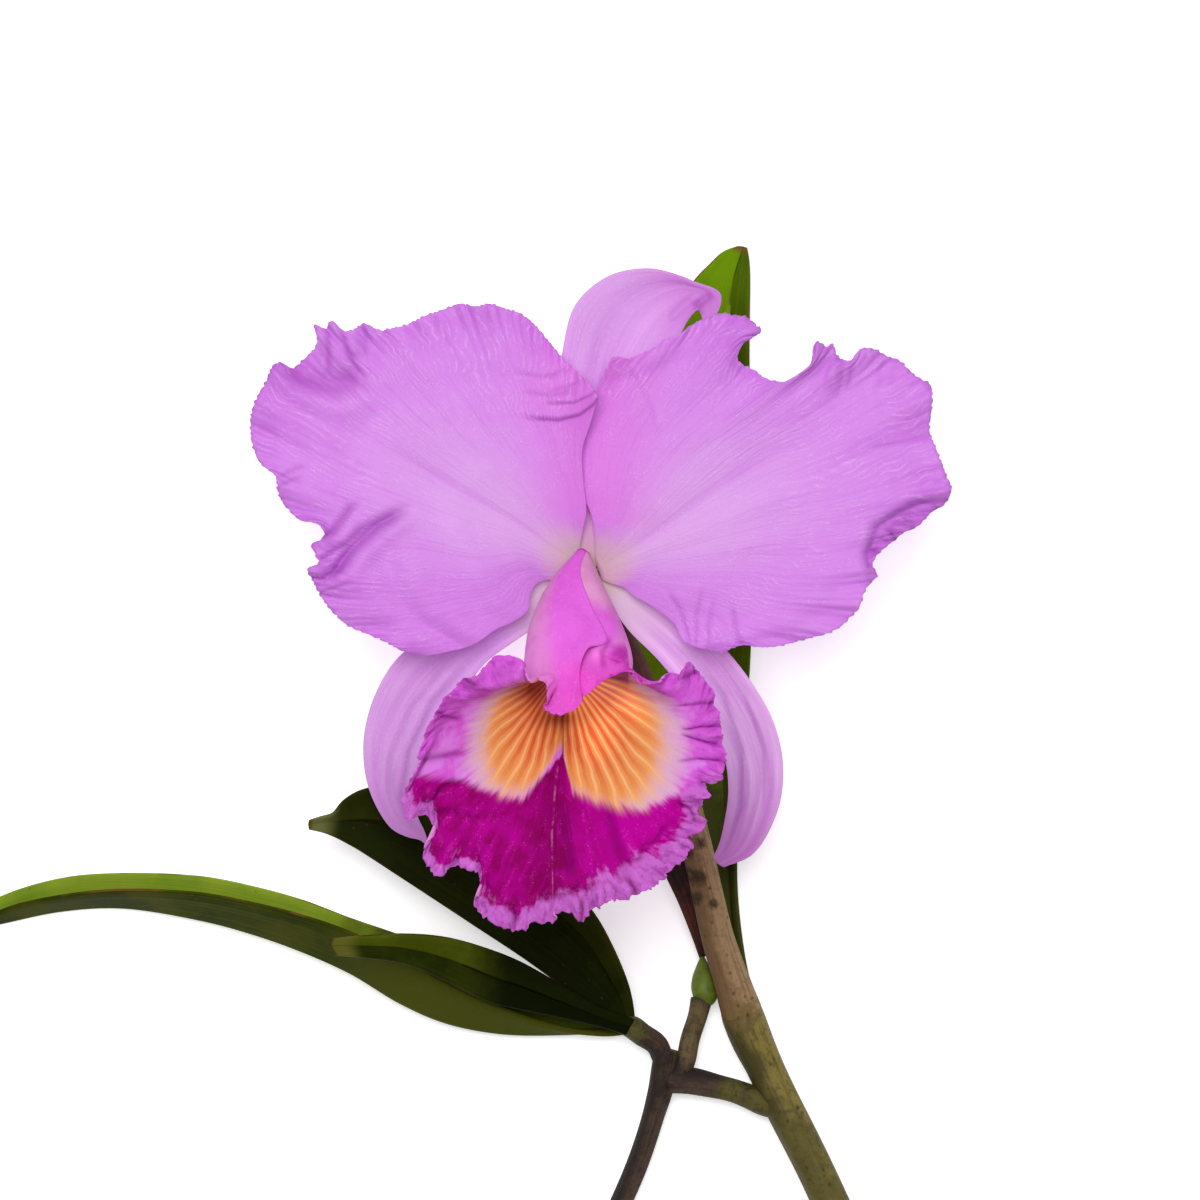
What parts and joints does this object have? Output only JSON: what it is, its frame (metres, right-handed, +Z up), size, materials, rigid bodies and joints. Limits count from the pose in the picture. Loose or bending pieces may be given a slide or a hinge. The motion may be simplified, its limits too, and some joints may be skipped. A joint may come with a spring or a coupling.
{
  "type": "cattleya orchid",
  "caption": "Cut cattleya orchid laid on its back: an open lilac bloom with waved petals and a frilled magenta lip, on its canes with strap leaves.",
  "frame": {"origin": "Centre of the footprint on the table, at the table's top.", "axes": "+Z up from the table, towards the side the bloom opens to. +Y from the canes' cut ends to the top of the bloom. +X to the right of the bloom as it is looked at, opposite to the long leaf."},
  "size_m": [0.2568, 0.2495, 0.0883],
  "materials": {
    "petal": "soft lilac petal, matte with a fine sparkle",
    "sepal": "soft pale lilac, matte",
    "lip": "velvety magenta with an orange, veined throat",
    "column": "waxy cream pink",
    "flower_stalk": "smooth green",
    "leaf": "leathery green with a faint gloss",
    "leaf_shaded": "leathery dark green",
    "bract": "dry papery, dark red-brown",
    "cane_green": "olive green, matte",
    "sheath": "dry papery, light brown with dark specks",
    "bud": "smooth bright green",
    "cane_brown": "dry brown bark, matte"
  },
  "bodies": {
    "root": {"petal_left": "petal", "petal_right": "petal", "sepal_dorsal": "sepal", "sepal_left": "sepal", "sepal_right": "sepal", "lip": "lip", "column": "column", "flower_stalk": "flower_stalk", "leaf_tall": "leaf", "leaf_long": "leaf", "leaf_short": "leaf", "leaf_rear": "leaf_shaded", "bract_dry": "bract", "cane_main": "cane_green", "sheath": "sheath", "bud": "bud", "cane_side": "cane_brown"}
  },
  "joints": []
}
